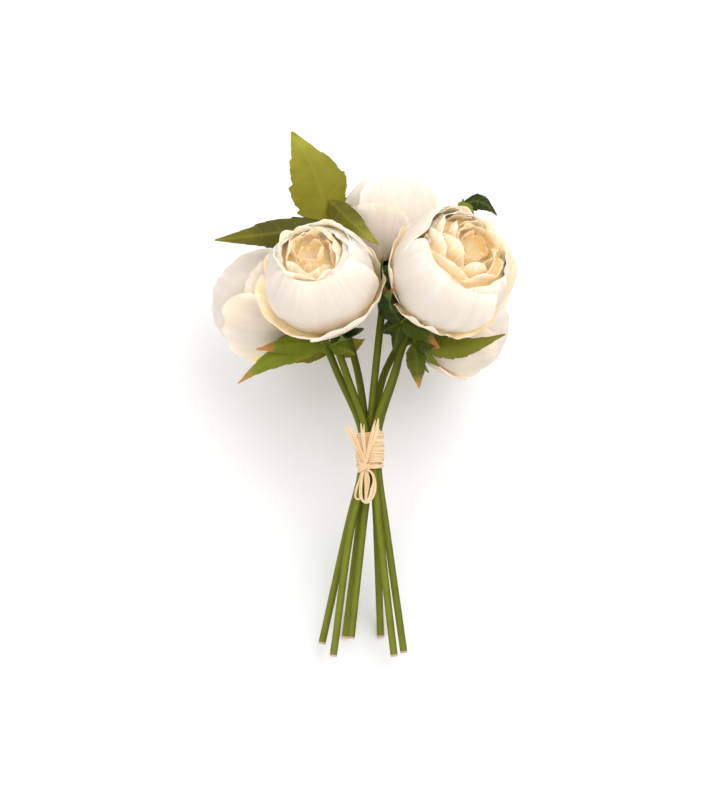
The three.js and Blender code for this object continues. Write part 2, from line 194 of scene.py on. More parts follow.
# White petals from the outside in. The first three rings have the counts and turns of those in the part's
# source, but are fuller. RADIUS_SHARES are shares of the globe's radius, and angles are degrees, root and rim
# from the bottom of the globe. A bloom's changes, by ring and number, are what differs in single petals.
PETAL_RINGS = [
    dict(count=4, turn=-145, radius=1.0, half=53, root=15, rim=90, lip=0.0, lean=-0.03, wave=0.015,
         ruffle=0.014, fold=0.024, corner=4, drop=0.3, lift=0, cleft=7, cup=0, tone=1.0),
    dict(count=4, turn=-100, radius=0.94, half=62, root=16, rim=138, lip=-0.05, lean=-0.02, wave=0.015,
         ruffle=0.008, fold=0.024, corner=5, drop=0.26, lift=0, cleft=4, cup=0, tone=0.5),
    dict(count=3, turn=-60, radius=0.87, half=66, root=17, rim=138, lip=-0.02, lean=-0.02, wave=0.015,
         ruffle=0.01, fold=0.024, corner=4, drop=0.22, lift=0, cleft=3, cup=0, tone=0.5),
    dict(count=5, turn=-20, radius=0.81, half=47, root=20, rim=137, lip=0.0, lean=-0.02, wave=0.02,
         ruffle=0.012, fold=0.024, corner=4, drop=0.15, lift=0.02, cleft=3, cup=0, tone=0.6),
]
# Cream petals of the heart: broad rounded lobes round a lower middle, of which the inner ones curl in. The
# outer ones reach up to just under the rim of the white petals.
HEART_RINGS = [
    dict(count=8, turn=20, radius=0.58, half=36, root=40, rim=115, lip=0.02, lean=-0.04, wave=0.03,
         ruffle=0.006, fold=0.025, corner=2.2, drop=0.36, lift=0.42, cleft=0, cup=0.02, tone=0.0),
    dict(count=6, turn=50, radius=0.45, half=40, root=42, rim=132, lip=0.03, lean=-0.04, wave=0.04,
         ruffle=0.006, fold=0.03, corner=2.2, drop=0.36, lift=0.41, cleft=0, cup=0.04, tone=0.4),
    dict(count=4, turn=10, radius=0.34, half=56, root=44, rim=128, lip=0.03, lean=-0.04, wave=0.04,
         ruffle=0.006, fold=0.03, corner=3, drop=0.3, lift=0.46, cleft=0, cup=0.02, tone=0.8),
    dict(count=4, turn=80, radius=0.21, half=60, root=46, rim=126, lip=0.03, lean=-0.03, wave=0.03,
         ruffle=0.006, fold=0.03, corner=3, drop=0.3, lift=0.5, cleft=0, cup=0.02, tone=1.0),
]
# The gathered cloth under the heart's petals: its radius, its level and its rise to the middle, as shares of
# the globe's radius
CORE_R = 0.67
CORE_LOW = 0.38
CORE_RISE = 0.09
# Sepals: the first three are those of the part's source
SEPALS = [
    dict(turn=-90, reach=36, half=6),
    dict(turn=30, reach=42, half=5.5),
    dict(turn=150, reach=38, half=6),
    dict(turn=-25, reach=26, half=4),
    dict(turn=90, reach=30, half=4),
]

# Leaflet outline: distance along the rib and half width there
OUTLINE_V = (0, 0.06, 0.13, 0.22, 0.34, 0.46, 0.6, 0.74, 0.88, 1)
OUTLINE_W = (0.06, 0.4, 0.68, 0.88, 1, 0.97, 0.8, 0.53, 0.24, 0.02)
# Leaves: the stem and the share of it where the stalk springs, the stalk's bow and fork, the way the leaf
# faces, and its leaflets, which spring from the fork or from a base of their own. How light or dark a leaflet
# is comes partly from its own colour and partly from painted shade.
LEAVES = [
    dict(stem="top", share=0.92, bow=(-6, -8, 2), fork=(-25, 134, 12), faces=(0.1, 0.2, 1), leaflets=[
        dict(tip=(-47, 190, 8), half=17.5, arch=4, bend=3.5, teeth=4, tone=0.6),
        dict(tip=(-92, 125, 18), half=9, arch=6, bend=-2, teeth=3, tone=0.0, scorch=0.3),
        dict(base=(-24, 149, 14.5), tip=(5, 121, 35), half=7.5, arch=4, bend=2, teeth=3, tone=0.15)]),
    dict(stem="front_left", share=0.9, bow=(-1, -1, -1), fork=(-25, 64, 16), faces=(0, 0.2, 1), leaflets=[
        dict(tip=(-78, 40, 24), half=7, arch=3, bend=4.5, teeth=6, tone=0.7),
        dict(tip=(-67, 60, 26), half=6.5, arch=3, bend=0, teeth=3, tone=0.5, scorch=2.6),
        dict(tip=(-9, 57, 18), half=4, arch=1, bend=0, teeth=2, tone=0.4, scorch=0.0)]),
    dict(stem="front_right", share=0.9, bow=(1, -1, -1), fork=(26, 64, 17), faces=(0, 0.2, 1), leaflets=[
        dict(tip=(80, 69, 21), half=6.5, arch=3, bend=6, teeth=7, tone=1.0, scorch=0.15),
        dict(tip=(29, 37, 24), half=6, arch=2, bend=0, teeth=3, tone=0.6),
        dict(tip=(41, 61, 26), half=5, arch=2, bend=0, teeth=2, tone=0.4, scorch=1.6)]),
    dict(stem="front_right", share=0.93, bow=(0, -1, 1), fork=(18, 76, 15), faces=(-0.2, 0, 1), leaflets=[
        dict(tip=(40, 62, 28), half=6.5, arch=3, bend=-2, teeth=3, tone=0.4),
        dict(tip=(8, 99, 22), half=9, arch=1, bend=-1, teeth=4, tone=0.1, scorch=0.6),
        dict(tip=(6, 70, 10), half=5, arch=1, bend=0, teeth=2, tone=0.2, scorch=0.0),
        dict(tip=(14, 58, 12), half=4, arch=1, bend=0, teeth=2, tone=0.2, scorch=0.0)]),
    dict(stem="back_right", share=0.93, bow=(1, 0, 10), fork=(57, 131, -12), faces=(0, 0.3, 1), leaflets=[
        dict(tip=(56, 151, -5), half=6, arch=1, bend=0, teeth=2, tone=1.0, scorch=0.0),
        dict(base=(54, 147, -6), tip=(76, 141, 0), half=5.5, arch=2, bend=-5, teeth=3, tone=0.0, scorch=0.0),
        dict(base=(53.5, 149, -4.5), tip=(62.5, 136.5, -1), half=4, arch=1.5, bend=-1, teeth=2, tone=1.2,
             scorch=0.0)]),
    dict(stem="back_left", share=0.86, bow=(0, -2, -4), fork=(-24, 60, -46), faces=(-0.3, -0.5, -1),
         leaflets=[
        dict(tip=(-76, 66, -70), half=11, arch=4, bend=1, teeth=5, tone=0.5),
        dict(tip=(-50, 60, -74), half=9, arch=4, bend=0, teeth=3, tone=0.4),
        dict(tip=(-3, 68, -64), half=8, arch=4, bend=0, teeth=3, tone=0.6)]),
]

# Raffia. A wound strip has its turns, where it starts and ends along the tie, how far outside WRAP_R it lies,
# its width and the number of its draws. The knot is turns that cross at KNOT.
WRAP_R = WAIST_SPACING + STEM_R + CUP_GAP
WRAP_TURNS = 9
WRAP_WIDTH = 2.7
WRAP_STEPS = 24
WOUND = [
    (WRAP_TURNS, TIE_HALF - 1.3, -TIE_HALF + 3.6, 0.35, WRAP_WIDTH, 1),
    (WRAP_TURNS, TIE_HALF - 1.6, -TIE_HALF + 4, 0.7, 0.8 * WRAP_WIDTH, 4),
    (1.2, -TIE_HALF + 1.6, -TIE_HALF + 1.2, 0.4, 2.1, 9),
]
LINING_HALF = TIE_HALF - 0.6
LINING_SIDES = 36
STRAW_SIDES = 5
KNOT = (-3.6, -9.6, 9.7)
KNOT_REACH = 3.2
KNOT_RISE = 2.6
KNOT_SINK = 0.6
KNOT_STEP = 0.9
KNOT_WIDTH = 2.2
KNOT_TILTS = (-0.5, 0.1, 0.6)
# The strips of the bow, as points with the strip's width at each, and how many steps lie between two of them
STRIP_STEPS = 12
STRIPS = [
    [(-3.4, -8.5, 10.6, 1.6), (-6.2, -1, 11.2, 2.4), (-9.6, 6.6, 11.8, 2.6), (-12.4, 13, 12.4, 1.9),
     (-13.6, 15.6, 12.7, 0.4)],
    [(-3.4, -8.5, 10.5, 1.4), (-7, -0.5, 11, 1.6), (-10.8, 7, 11.4, 1.5), (-15.4, 14.2, 12.2, 0.4)],
    [(-3.2, -8.5, 10.4, 1.0), (-8, 2, 10.8, 1.0), (-11.6, 8.6, 11.2, 0.8), (-14.8, 15.2, 12.6, 0.3)],
    [(-2.8, -8, 11, 1.4), (-4.8, -2, 11.9, 1.5), (-7.6, 5, 12.3, 1.3), (-11.4, 15.8, 12.9, 0.3)],
    [(-3, -8, 10.4, 0.9), (-5.4, 2, 10.6, 1.0), (-7.4, 9, 11, 0.4)],
    [(-3.3, -8.5, 10.8, 1.5), (-3.4, 0, 11.4, 1.9), (-4.4, 8, 11.6, 2.0), (-5.6, 16.2, 12, 0.4)],
    [(-3.1, -8.5, 10.6, 1.0), (-3.2, 2, 11.1, 1.2), (-3.7, 10, 11.2, 1.1), (-3.6, 15.6, 11.4, 0.3)],
    [(-3, -8.5, 10.9, 1.4), (-1.6, -1, 11.6, 1.6), (0.4, 7, 12, 1.7), (2, 14, 12.4, 1.3),
     (3.2, 18.2, 12.6, 0.4)],
    [(-2.8, -8.5, 10.8, 1.4), (-0.6, 0, 11.3, 1.8), (2.2, 8, 11.8, 2.4), (4.2, 14, 12, 2.2),
     (5, 19.2, 12.2, 0.4)],
    [(-2.6, -8, 10.5, 1.2), (0.6, 2, 10.9, 1.4), (3.8, 9, 11.2, 1.4), (5.8, 12.8, 11.2, 0.4)],
    [(-4.4, -11, 10.2, 1.2), (-6.2, -17, 10.6, 1.2), (-8.4, -24, 10.6, 1.1), (-8.6, -28.2, 10.2, 0.9),
     (-6.4, -29, 10, 1), (-5.9, -24, 9.9, 1.3), (-5, -16, 10, 1.3), (-4, -11, 9.9, 1.3)],
    [(-4, -11, 10.8, 1.4), (-5.2, -18, 11.6, 1.8), (-5.6, -25, 11.6, 1.7), (-4.6, -29.6, 11, 1.3),
     (-2.4, -31, 10.6, 1.2), (-2.4, -27, 10.2, 1.6), (-2.6, -18, 10.1, 1.7), (-3.2, -11, 10, 1.3)],
    [(-2.2, -11, 10.8, 1.2), (1.2, -13.6, 11.4, 1.5), (2.6, -18, 11.9, 1.9), (2, -23, 12.1, 3.6),
     (0.8, -27.2, 11.7, 3.2), (-1.6, -31, 11, 1.4), (-2.6, -29.6, 10.5, 1.1), (-1.6, -24, 10.2, 1.5),
     (-0.9, -17, 10.2, 1.5), (-2.6, -11, 10, 1.2)],
]


def draw(a, b):
    """A repeatable draw from 0 to 1 for whole numbers a and b, the same as in the part's source."""
    s = math.sin(a * 12.9898 + b * 78.233) * 437.585
    return s - math.floor(s)


def unit(v):
    return np.asarray(v, dtype=float) / np.linalg.norm(v)


def path_point(points, share):
    """Point at a share of a centripetal Catmull-Rom line, as the part's source draws it."""
    points = [np.asarray(p, dtype=float) for p in points]
    place = share * (len(points) - 1)
    i = min(int(place), len(points) - 2)
    w = place - i
    p1, p2 = points[i], points[i + 1]
    p0 = points[i - 1] if i > 0 else 2 * p1 - p2
    p3 = points[i + 2] if i + 2 < len(points) else 2 * p2 - p1
    d0, d1, d2 = (float(np.sum((b - a) ** 2)) ** 0.25 for a, b in ((p0, p1), (p1, p2), (p2, p3)))
    t1 = ((p1 - p0) / d0 - (p2 - p0) / (d0 + d1) + (p2 - p1) / d1) * d1
    t2 = ((p2 - p1) / d1 - (p3 - p1) / (d1 + d2) + (p3 - p2) / d2) * d1
    return p1 + t1 * w + (3 * (p2 - p1) - 2 * t1 - t2) * w**2 + (2 * (p1 - p2) + t1 + t2) * w**3


def path_points(points, count):
    return np.array([path_point(points, k / (count - 1)) for k in range(count)])


def grid(across, along):
    """u from -1 to 1 and v from 0 to 1 at each point of a sheet, and the quads between the points."""
    u, v = np.meshgrid(np.linspace(-1, 1, across + 1), np.linspace(0, 1, along + 1))
    corner = np.arange((across + 1) * (along + 1)).reshape(along + 1, across + 1)[:-1, :-1].ravel()
    quads = np.stack([corner, corner + 1, corner + across + 2, corner + across + 1], axis=1)
    return u.ravel(), v.ravel(), quads


def cloth_folds(n, phi, v):
    """Long soft folds from root to rim, from about -1 to 1. They run alike through all the petals that have
    the same number n, which lie against each other."""
    folds = np.zeros_like(phi)
    for j, pitch in enumerate((3, 7, 11, 16)):
        slant = 5 * (draw(n + 210, j) - 0.5)
        folds += np.sin(pitch * phi + slant * v + 6 * draw(n + 220, j)) / (1 + 0.8 * j)
    return 0.5 * folds


def petal_points(petal, u, v):
    """Places of a petal's points in its bloom's frame."""
    side = np.abs(u)
    phase = petal["phase"]
    rim = petal["rim"] - (petal["rim"] - petal["root"]) * petal["drop"] * side ** petal["corner"]
    rim = rim + petal["fray"] * (np.sin(4 * u + phase) + 0.4 * np.sin(11 * u + 2 * phase))
    rim = rim - petal["cleft"] * np.exp(-np.abs(u - petal["cleft_at"]) / 0.08)
    theta = np.radians(petal["root"] + (rim - petal["root"]) * v)
    spread = petal["half"] * u * (0.6 + 0.4 * np.minimum(1, v / 0.3) - 0.12 * v**2)
    phi = np.radians(petal["turn"] + spread)
    wave = petal["wave"] * v**3 * np.sin(4 * phi + 6 * draw(petal["cloth"], 230))
    ruffle = petal["ruffle"] * v**6 * np.sin(3 * petal["waves"] * u + 3 * phase + 1.2 * np.sin(2 * u))
    folds = petal["fold"] * cloth_folds(petal["cloth"], phi, v) * np.sqrt(v)
    r = petal["radius"] + petal["lean"] * u + petal["lip"] * v**4 + wave + ruffle + folds
    r = r - petal["cup"] * side**2
    x = r * np.sin(theta) * np.cos(phi)
    y = r * np.sin(theta) * np.sin(phi)
    z = petal["lift"] - GLOBE_FLAT * r * np.cos(theta)
    return np.stack([x, y, z], axis=1)


def ring_petals(bloom, n, ring, k):
    """The petals of ring k of bloom number n, each a little different from its neighbours."""
    petals = []
    for i in range(ring["count"]):
        seed = 10 * k + i
        own = {**ring, **bloom.get("changes", {}).get((k, i), {})}
        sizes = {name: own[name] * bloom["radius"] for name in RADIUS_SHARES}
        petals.append({**own, **sizes, **dict(
            seed=seed,
            cloth=n,
            turn=own["turn"] + bloom["roll"] + 360 / ring["count"] * i + PETAL_SPREAD * (draw(n, seed) - 0.5),
            rim=own["rim"] - bloom["opened"] + PETAL_SPREAD * (draw(n + 20, seed) - 0.5),
            waves=3 + 2 * draw(n + 40, seed),
            phase=6 * draw(n + 60, seed),
            fray=RIM_FRAY,
            cleft=own["cleft"] * draw(n + 100, seed),
            cleft_at=1.2 * (draw(n + 110, seed) - 0.5),
            tone=own["tone"] * (0.4 + 0.6 * draw(n + 120, seed)),
        )})
    return petals


def heart_petals(bloom, n):
    """The crumpled cream petals of a heart, with no fray and with folds of their own. Each is 0.8 to 1.3
    times as wide and 0.88 to 1.12 times as far out as its ring says."""
    petals = []
    for k, ring in enumerate(HEART_RINGS):
        for petal in ring_petals(bloom, n, ring, k + 5):
            petal["turn"] += HEART_TURN_SPREAD * (draw(n + 130, petal["seed"]) - 0.5)
            petal["rim"] += bloom["opened"] + HEART_RIM_SPREAD * (draw(n + 140, petal["seed"]) - 0.5)
            petal["half"] *= 0.8 + 0.5 * draw(n + 145, petal["seed"])
            petal["radius"] *= 0.88 + 0.24 * draw(n + 150, petal["seed"])
            petal["lift"] += HEART_LIFT_SPREAD * bloom["radius"] * (draw(n + 160, petal["seed"]) - 0.5)
            petal["cup"] *= 2.4 * (draw(n + 170, petal["seed"]) - 0.1)
            petal["fray"] = 0.0
            petal["cloth"] = 40 * n + petal["seed"]
            petals.append(petal)
    return petals


def heart_core(bloom, n):
    """The gathered cloth that the heart's petals stand on, a low crumpled dome."""
    u, v, quads = grid(*CORE_GRID)
    phi = math.pi * u
    theta = np.radians(112 * (1 - v))
    crumple = 0.05 * np.sin(7 * phi + 3 * np.sin(2 * phi + n)) + 0.03 * np.sin(16 * phi + n)
    r = bloom["radius"] * CORE_R * (1 + crumple * np.sin(theta))
    z = bloom["radius"] * (CORE_LOW + CORE_RISE * (1 + crumple * np.sin(theta)) * np.cos(theta))
    points = np.stack([r * np.sin(theta) * np.cos(phi), r * np.sin(theta) * np.sin(phi), z], axis=1)
    return sheet_of(points, quads, u, 0.7 * v, tone=0.5)


def bloom_place(bloom):
    """The matrix that carries a bloom's frame, +Z out of its opening, to its place in the bunch."""
    z = Vector(bloom["face"]).normalized()
    x = (Vector((1, 0, 0)) - z * z.x).normalized()
    y = z.cross(x)
    place = Matrix((x, y, z)).transposed().to_4x4()
    return Matrix.Translation(bloom["at"]) @ place


def sheet_of(points, quads, u, v, **marks):
    """A sheet of a mesh: its points, faces, UV and named values."""
    return dict(points=points, faces=quads, uv=np.stack([(u + 1) / 2, v], axis=1), marks=marks)


def petal_sheet(petal, across, along):
    u, v, quads = grid(across, along)
    return sheet_of(petal_points(petal, u, v), quads, u, v, tone=petal["tone"])


def leaflet_width(leaflet, u, v, number):
    """Half width of a leaflet, its margin cut into teeth that point to the tip."""
    width = leaflet["half"] * np.interp(v, OUTLINE_V, OUTLINE_W)
    start = np.where(u > 0, draw(number, 1), draw(number, 2))
    tooth = (v * leaflet["teeth"] + start) % 1
    cut = np.clip((v - 0.08) / 0.1, 0, 1) * np.clip((0.95 - v) / 0.1, 0, 1)
    fine = (v * leaflet["teeth"] * 3 + start) % 1
    return width * (1 + cut * (0.13 * (tooth - 0.6) + 0.05 * (fine - 0.5)))


def leaflet_sheet(leaf, leaflet, number):
    """A leaflet with teeth, a sunk midrib, pairs of side veins and a wavy margin."""
    u, v, quads = grid(*LEAFLET_GRID)
    fork = np.array(leaflet.get("base", leaf["fork"]), dtype=float)
    rib = np.array(leaflet["tip"]) - fork
    side = unit(np.cross(rib, leaf["faces"]))
    up = unit(np.cross(side, rib))
    width = leaflet_width(leaflet, u, v, number)
    length = np.linalg.norm(rib)
    reach = np.abs(u) * width
    slant = v - VEIN_SLANT * reach / length
    between = np.abs((slant * VEIN_PAIRS) % 1 - 0.5) * length / VEIN_PAIRS
    midrib = np.exp(-((reach / MIDRIB_HALF) ** 2))
    side_vein = np.exp(-((between / VEIN_HALF) ** 2)) * np.clip(1.15 - np.abs(u), 0, 1)
    vein = np.clip(midrib + 0.7 * side_vein, 0, 1)
    phase = 6 * draw(number, 5)
    margin = 0.09 * leaflet["half"] * u**2 * np.sin(11 * v + phase + np.where(u > 0, 1.5, 0))
    pillow = np.sin(math.pi * np.clip(between / (length / VEIN_PAIRS / 2), 0, 1))
    relief = -0.35 * vein + 0.35 * pillow * np.abs(u)
    height = leaflet["arch"] * np.sin(math.pi * v) - 0.35 * reach + margin + relief
    bend = leaflet["bend"] * np.sin(math.pi * v)
    points = fork + np.outer(v, rib) + np.outer(u * width + bend, side) + np.outer(height, up)
    return sheet_of(points, quads, u, v, vein=vein, tone=leaflet["tone"],
                    scorch=leaflet.get("scorch", 1.0))


def sepal_sheet(bloom, n, i, sepal):
    """A toothed sepal that hugs the back of its bloom."""
    u, v, quads = grid(*SEPAL_GRID)
    turn = math.radians(sepal["turn"] + bloom["roll"] + 16 * (draw(n + 80, i) - 0.5))
    reach = sepal["reach"] * (0.9 + 0.2 * draw(n + 90, i))
    theta = np.radians(5 + reach * v)
    half = sepal["half"] * np.where(v < 0.65, 0.5 + 0.77 * v, 2.4 * (1.02 - v))
    tooth = (v * 4 + draw(n + 170, i)) % 1
    half = half * (1 + 0.16 * (tooth - 0.6) * np.clip(v / 0.2, 0, 1))
    side = half * u
    midrib = np.exp(-((side / 0.5) ** 2))
    curl = 1.6 * u**2 + 0.7 * np.sin(8 * v + 6 * draw(n + 180, i)) * np.abs(u) + 2 * v**6
    r = bloom["radius"] * 1.06 + 1.4 + curl * 0.5 - 0.3 * midrib
    x = r * np.sin(theta) * math.cos(turn) - side * math.sin(turn)
    y = r * np.sin(theta) * math.sin(turn) + side * math.cos(turn)
    z = -GLOBE_FLAT * r * np.cos(theta) - 0.3 * (1 - v)
    return sheet_of(np.stack([x, y, z], axis=1), quads, u, v, vein=0.8 * midrib,
                    tone=draw(n + 190, i), scorch=sepal.get("scorch", 0.0))


def turned(profile, sides):
    """A closed turned shape round +Z from (radius, height) points that start and end on the axis."""
    rings = [p for p in profile if p[0] > 0]
    turns = np.linspace(0, 2 * math.pi, sides, endpoint=False)
    points = [(r * math.cos(t), r * math.sin(t), z) for r, z in rings for t in turns]
    faces = []
    for j in range(len(rings) - 1):
        for i in range(sides):
            a = j * sides + i
            b = j * sides + (i + 1) % sides
            faces.append([a, b, b + sides, a + sides])
    low, high = len(points), len(points) + 1
    points += [(0, 0, profile[0][1]), (0, 0, profile[-1][1])]
    last = (len(rings) - 1) * sides
    for i in range(sides):
        faces.append([low, (i + 1) % sides, i])
        faces.append([high, last + i, last + (i + 1) % sides])
    return np.array(points), faces


def mesh_of(name, sheets, place):
    """One mesh of several sheets, in metres where it lies."""
    matrix = np.array(BUNCH @ place)
    points = np.concatenate([sheet["points"] for sheet in sheets]) @ matrix[:3, :3].T + matrix[:3, 3]
    counts = [len(sheet["points"]) for sheet in sheets]
    starts = np.cumsum([0] + counts)
    faces = [[int(corner) + int(start) for corner in face]
             for sheet, start in zip(sheets, starts) for face in sheet["faces"]]
    mesh = bpy.data.meshes.new(name)
    mesh.from_pydata(points.tolist(), [], faces)
    corners = np.empty(len(mesh.loops), dtype=np.int32)
    mesh.loops.foreach_get("vertex_index", corners)
    uv = np.concatenate([sheet["uv"] for sheet in sheets])
    mesh.uv_layers.new(name="UVMap").data.foreach_set("uv", uv[corners].ravel())
    for mark in sheets[0]["marks"]:
        values = np.concatenate([np.broadcast_to(sheet["marks"][mark], count)
                                 for sheet, count in zip(sheets, counts)])
        mesh.attributes.new(mark, "FLOAT", "POINT").data.foreach_set("value", values)
    mesh.shade_smooth()
    return mesh


def new_object(name, data):
    obj = bpy.data.objects.new(name, data)
    bpy.context.scene.collection.objects.link(obj)
    return obj


def settled(obj):
    """The object with its modifiers applied and its lowest points pressed flat on the table."""
    graph = bpy.context.evaluated_depsgraph_get()
    mesh = bpy.data.meshes.new_from_object(obj.evaluated_get(graph), preserve_all_data_layers=True,
                                           depsgraph=graph)
    obj.modifiers.clear()
    obj.data = mesh
    places = np.empty(3 * len(mesh.vertices))
    mesh.vertices.foreach_get("co", places)
    places = places.reshape(-1, 3)
    places[:, 2] = np.maximum(places[:, 2], 0)
    mesh.vertices.foreach_set("co", places.ravel())
    mesh.shade_smooth()
    mesh.set_sharp_from_angle(angle=SHARP_EDGE)
    return obj


def thicken(obj, thickness, finishes=1):
    """Gives a sheet its thickness. A second finish, if there is one, goes on its inner side."""
    walls = obj.modifiers.new("thickness", "SOLIDIFY")
    walls.thickness = thickness * MM
    walls.offset = 0
    walls.material_offset = finishes - 1


def sheet_object(name, sheets, place, thickness, *finishes):
    """A piece of thin sheets of even thickness."""
    obj = new_object(name, mesh_of(name, sheets, place))
    for material in finishes:
        obj.data.materials.append(material)
    thicken(obj, thickness, len(finishes))
    return settled(obj)


def hand_over(obj, node):
    """Parents a piece to the root body and hides the CAD node that it stands for."""
    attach(obj, "root")
    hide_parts(node)


def colour(hex_value):
    """Linear RGBA of an sRGB hex colour."""
    parts = [int(hex_value[i:i + 2], 16) / 255 for i in (1, 3, 5)]
    return [c / 12.92 if c <= 0.04045 else ((c + 0.055) / 1.055) ** 2.4 for c in parts] + [1]


def add(tree, kind, inputs=None, **settings):
    """Adds a node with its settings. A socket among its inputs is linked, and any other value is set."""
    node = tree.nodes.new(kind)
    for name, value in settings.items():
        setattr(node, name, value)
    for name, value in (inputs or {}).items():
        if isinstance(value, bpy.types.NodeSocket):
            tree.links.new(value, node.inputs[name])
        else:
            node.inputs[name].default_value = value
    return node


def noise(tree, vector, scale, detail):
    texture = add(tree, "ShaderNodeTexNoise", {"Vector": vector, "Scale": scale, "Detail": detail})
    return texture.outputs["Fac"]


def named_value(tree, name):
    """The values that a mesh holds under a name."""
    return add(tree, "ShaderNodeAttribute", attribute_name=name).outputs["Fac"]


def finish(name, **shader_values):
    """A material with its node tree, its shader and the shader's plain values."""
    material = bpy.data.materials.new(name)
    material.use_nodes = True
    tree = material.node_tree
    shader = tree.nodes["Principled BSDF"]
    for socket, value in shader_values.items():
        shader.inputs[socket.replace("_", " ")].default_value = value
    return material, tree, shader


def set_stops(ramp, stops):
    """Sets a colour ramp's (position, hex) stops and returns its colour."""
    elements = ramp.color_ramp.elements
    while len(elements) < len(stops):
        elements.new(0.5)
    for element, (position, hex_value) in zip(elements, stops):
        element.position = position
        element.color = colour(hex_value)
    return ramp.outputs["Color"]


def petal_cloth(name, stops, deep_tone_and_crease_shade, crease_depth, see_through=0.8):
    """Brushed polyester cloth, dyed and heat-cupped: soft and matt, and light passes into it by see_through.
    A fan of fine creases runs from root to rim and darkens it towards the darker colour as painted shade, and
    patches from a cloud take that colour too; a weave is drawn at 0.5 mm so that it can show."""
    material, tree, shader = finish(
        name, Roughness=0.75, Subsurface_Weight=see_through, Subsurface_Scale=0.004,
        Subsurface_Radius=(1.0, 0.96, 0.9), Sheen_Weight=0.1, Sheen_Roughness=0.5)
    shader.subsurface_method = "BURLEY"
    coords = add(tree, "ShaderNodeTexCoord")
    petal = add(tree, "ShaderNodeSeparateXYZ", {0: coords.outputs["UV"]})
    base = set_stops(add(tree, "ShaderNodeValToRGB", {"Fac": petal.outputs["Y"]}), stops)
    tone = named_value(tree, "tone")
    cloud = noise(tree, coords.outputs["Object"], 45.0, 3.0)
    fan = add(tree, "ShaderNodeMapping", {"Vector": coords.outputs["UV"], "Scale": (16.0, 1.6, 1.0)})
    crease = noise(tree, fan.outputs[0], 1.0, 3.0)
    mixed = add(tree, "ShaderNodeMath", {0: cloud, 1: tone}, operation="MULTIPLY")
    # The creases' darker tint is painted shade; the cloud's patches are the cloth's own uneven colour
    tone_and_crease_shade = add(tree, "ShaderNodeMath", {0: mixed.outputs[0], 1: crease}, operation="ADD")
    tone_and_crease_shade_share = add(tree, "ShaderNodeMapRange", {0: tone_and_crease_shade.outputs[0], 1: 0.5, 2: 1.05, 3: 0.0, 4: 0.9})
    toned = add(tree, "ShaderNodeMix", {0: tone_and_crease_shade_share.outputs[0], 6: base, 7: colour(deep_tone_and_crease_shade)}, data_type="RGBA")
    weave = noise(tree, coords.outputs["Object"], 2000.0, 1.0)
    creased = add(tree, "ShaderNodeBump", {"Height": crease, "Strength": 0.9, "Distance": crease_depth * MM})
    woven = add(tree, "ShaderNodeBump", {"Height": weave, "Strength": 0.25, "Distance": 0.1 * MM,
                                         "Normal": creased.outputs[0]})
    tree.links.new(toned.outputs[2], shader.inputs["Base Color"])
    tree.links.new(woven.outputs[0], shader.inputs["Normal"])
    return material


def leaf_cloth(name, face, light, dark, tip, tip_from, tip_to):
    """Coated polyester leaf, printed green and embossed with veins: a low gloss, each leaflet lighter or
    darker partly in its own colour and partly as painted shade, and paler along the veins. The tip's colour
    comes in from tip_from to tip_to of its length, as strongly as the leaf's own scorch says."""
    material, tree, shader = finish(name, Roughness=0.55, Specular_IOR_Level=0.2,
                                    Subsurface_Weight=0.1, Subsurface_Scale=0.002)
    coords = add(tree, "ShaderNodeTexCoord")
    leaf = add(tree, "ShaderNodeSeparateXYZ", {0: coords.outputs["UV"]})
    cloud = noise(tree, coords.outputs["Object"], 90.0, 4.0)
    # How light or dark each leaflet is: partly its own colour and partly painted shade
    tone = named_value(tree, "tone")
    shade = add(tree, "ShaderNodeMix", {0: 0.6, 2: cloud, 3: tone}, data_type="FLOAT")
    base = set_stops(add(tree, "ShaderNodeValToRGB", {"Fac": shade.outputs[0]}),
                     [(0.2, dark), (0.5, face), (0.8, light)])
    vein = named_value(tree, "vein")
    pale = add(tree, "ShaderNodeMath", {0: vein, 1: 0.35}, operation="MULTIPLY")
    veined = add(tree, "ShaderNodeMix", {0: pale.outputs[0], 6: base, 7: colour(light)}, data_type="RGBA")
    edge = add(tree, "ShaderNodeMath", {0: cloud, 1: 0.3}, operation="MULTIPLY")
    reach = add(tree, "ShaderNodeMath", {0: leaf.outputs["Y"], 1: edge.outputs[0]}, operation="ADD")
    rust = add(tree, "ShaderNodeMapRange", {0: reach.outputs[0], 1: tip_from, 2: tip_to, 3: 0.0, 4: 1.0})
    scorch = named_value(tree, "scorch")
    share = add(tree, "ShaderNodeMath", {0: rust.outputs[0], 1: scorch}, operation="MULTIPLY")
    tipped = add(tree, "ShaderNodeMix", {0: share.outputs[0], 6: veined.outputs[2], 7: colour(tip)},
                 data_type="RGBA")
    grain = noise(tree, coords.outputs["Object"], 900.0, 2.0)
    bump = add(tree, "ShaderNodeBump", {"Height": grain, "Strength": 0.35, "Distance": 0.15 * MM})
    tree.links.new(tipped.outputs[2], shader.inputs["Base Color"])
    tree.links.new(bump.outputs[0], shader.inputs["Normal"])
    return material


